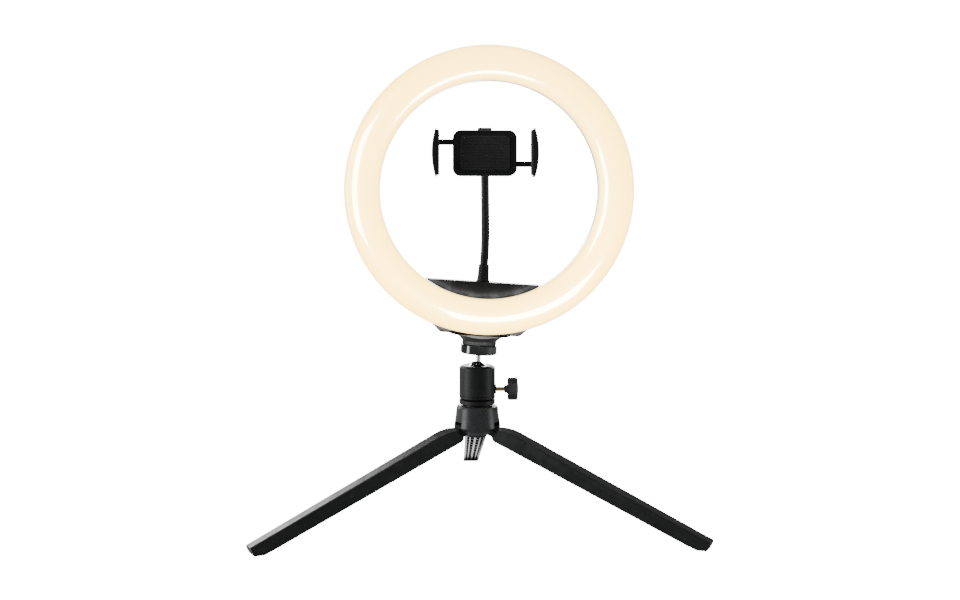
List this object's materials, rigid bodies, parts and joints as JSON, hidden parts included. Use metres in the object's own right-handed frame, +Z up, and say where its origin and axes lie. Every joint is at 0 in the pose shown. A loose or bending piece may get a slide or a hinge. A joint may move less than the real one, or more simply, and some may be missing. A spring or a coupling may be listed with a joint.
{
  "type": "ring light",
  "caption": "Lit ring lamp on a folding mini tripod with a ball head, and a flexible neck that carries a phone clamp in front of the ring.",
  "frame": {"origin": "middle of the footprint's box, at floor level; the tripod's axis is 50.1 mm in front of it (-Y)", "axes": "+Z up, the lit face of the ring and the phone side look along -Y, one leg points back along +Y"},
  "size_m": [0.3796, 0.3292, 0.4246],
  "materials": {
    "diffuser_lit": "milky, lit warm from inside",
    "led_lit": "phosphor faces of the LEDs, lit",
    "housing_plastic": "fine moulded texture",
    "bracket_plastic": "fine moulded texture",
    "leg_plastic": "satin moulded nylon",
    "hub_plastic": "satin moulded nylon",
    "clamp_plastic": "satin",
    "knob_plastic": "satin",
    "nylon": "natural nylon",
    "black_metal": "satin black paint",
    "gloss_black": "gloss black paint",
    "chrome": "polished",
    "zinc_steel": "zinc plated",
    "black_steel": "blackened steel",
    "brass": "dull",
    "foot_rubber": "matt rubber",
    "pad_rubber": "matt rubber",
    "grip_rubber": "soft grey-black rubber",
    "neck_rubber": "rubber-covered flexible tube",
    "board_white": "white solder mask on an aluminium board",
    "wire_insulation": "insulated wire"
  },
  "bodies": {
    "root": {"tripod_hub": "hub_plastic", "hub_bolt": "zinc_steel", "leg_hinge_pins": "zinc_steel", "pan_base": "black_metal", "pan_retainer": "zinc_steel"},
    "leg_back": {"leg_back": "leg_plastic", "foot_pad_back": "foot_rubber"},
    "leg_left": {"leg_left": "leg_plastic", "foot_pad_left": "foot_rubber"},
    "leg_right": {"leg_right": "leg_plastic", "foot_pad_right": "foot_rubber"},
    "head_housing": {"ball_housing": "black_metal", "housing_collar": "black_metal", "ball_seat": "nylon"},
    "brake": {"brake_shoe": "brass"},
    "lock": {"lock_screw": "brass", "lock_knob": "knob_plastic"},
    "ball": {"ball_stem": "chrome"},
    "light_head": {"platform": "gloss_black", "platform_pad": "pad_rubber", "camera_stud": "zinc_steel", "bracket": "bracket_plastic", "bracket_insert": "brass", "rear_cover": "bracket_plastic", "cover_screws": "black_steel", "ring_screws": "zinc_steel", "cable_gland": "pad_rubber", "led_leads": "wire_insulation", "diffuser": "diffuser_lit", "ring_housing": "housing_plastic", "led_board": "board_white", "led_chips": "led_lit", "board_screws": "zinc_steel", "gooseneck_sleeve": "neck_rubber", "gooseneck_root": "zinc_steel", "gooseneck_nut": "zinc_steel"},
    "neck_mid": {"gooseneck_lower": "neck_rubber"},
    "neck_tip": {"gooseneck_upper": "neck_rubber", "gooseneck_ferrule": "black_metal", "holder_ball": "black_metal"},
    "holder_nut": {"swivel_nut": "knob_plastic"},
    "clamp": {"clamp_rear_shell": "clamp_plastic", "clamp_front_shell": "clamp_plastic", "clamp_screws": "black_steel", "face_pad": "grip_rubber", "pinion_pin": "zinc_steel", "release_spring": "zinc_steel"},
    "pinion": {"pinion": "nylon"},
    "left_grip": {"left_arm": "clamp_plastic", "left_pad": "grip_rubber"},
    "right_grip": {"right_arm": "clamp_plastic", "right_pad": "grip_rubber"},
    "button": {"release_button": "knob_plastic"}
  },
  "joints": [
    {"name": "leg_back_fold", "type": "hinge", "parent": "root", "child": "leg_back", "pos_m": [0, -0.03705, 0.0795], "axis": [-1, 0, 0], "range_deg": [0, 68.4]},
    {"name": "leg_left_fold", "type": "hinge", "parent": "root", "child": "leg_left", "pos_m": [-0.01126, -0.05655, 0.0795], "axis": [0.5, -0.866, 0], "range_deg": [0, 68.4]},
    {"name": "leg_right_fold", "type": "hinge", "parent": "root", "child": "leg_right", "pos_m": [0.01126, -0.05655, 0.0795], "axis": [0.5, 0.866, 0], "range_deg": [0, 68.4]},
    {"name": "head_pan", "type": "hinge", "parent": "root", "child": "head_housing", "pos_m": [0, -0.05005, 0.1054], "axis": [0, 0, 1], "continuous": true},
    {"name": "ball_tilt", "type": "hinge", "parent": "head_housing", "child": "ball", "pos_m": [0, -0.05005, 0.129], "axis": [1, 0, 0], "range_deg": [-80, 34]},
    {"name": "head_spin", "type": "hinge", "parent": "ball", "child": "light_head", "pos_m": [0.00103, -0.05005, 0.14497], "axis": [0.0645, 0, 0.9979], "continuous": true},
    {"name": "brake_slide", "type": "slide", "parent": "head_housing", "child": "brake", "axis": [1, 0, 0], "range_m": [0, 0.0014]},
    {"name": "lock_turn", "type": "hinge", "parent": "brake", "child": "lock", "pos_m": [0.02, -0.05005, 0.1138], "axis": [1, 0, 0], "range_deg": [0, 720]},
    {"name": "neck_lower_bend", "type": "hinge", "parent": "light_head", "child": "neck_mid", "pos_m": [0.00781, -0.04535, 0.24975], "axis": [0.9979, 0, -0.0645], "range_deg": [-25, 25], "deforming": ["gooseneck_lower"]},
    {"name": "neck_upper_bend", "type": "hinge", "parent": "neck_mid", "child": "neck_tip", "pos_m": [0.00705, -0.05125, 0.29389], "axis": [0, 1, 0], "range_deg": [-30, 30], "deforming": ["gooseneck_upper"]},
    {"name": "holder_tilt", "type": "hinge", "parent": "neck_tip", "child": "holder_nut", "pos_m": [0.00533, -0.07405, 0.32607], "axis": [1, 0, 0], "range_deg": [-60, 15]},
    {"name": "holder_turn", "type": "hinge", "parent": "holder_nut", "child": "clamp", "pos_m": [0.00533, -0.07405, 0.32607], "axis": [0, 1, 0], "continuous": true},
    {"name": "left_grip_slide", "type": "slide", "parent": "clamp", "child": "left_grip", "axis": [-1, 0, 0], "range_m": [-0.0107, 0.0053]},
    {"name": "right_grip_slide", "type": "slide", "parent": "clamp", "child": "right_grip", "axis": [1, 0, 0], "range_m": [-0.0107, 0.0053]},
    {"name": "pinion_spin", "type": "hinge", "parent": "clamp", "child": "pinion", "pos_m": [0.00533, -0.08605, 0.32607], "axis": [0, 1, 0], "range_deg": [-52, 104]},
    {"name": "release_press", "type": "slide", "parent": "clamp", "child": "button", "axis": [0, 0, -1], "range_m": [0, 0.002], "stiffness_N_per_m": 500, "springref_m": -0.0015, "deforming": ["release_spring"]}
  ],
  "couplings": [
    {"joint": "lock_turn", "follows": "brake_slide", "rad_per_m": 8975.9},
    {"joint": "right_grip_slide", "follows": "left_grip_slide", "ratio": 1},
    {"joint": "pinion_spin", "follows": "left_grip_slide", "rad_per_m": -166.67}
  ]
}
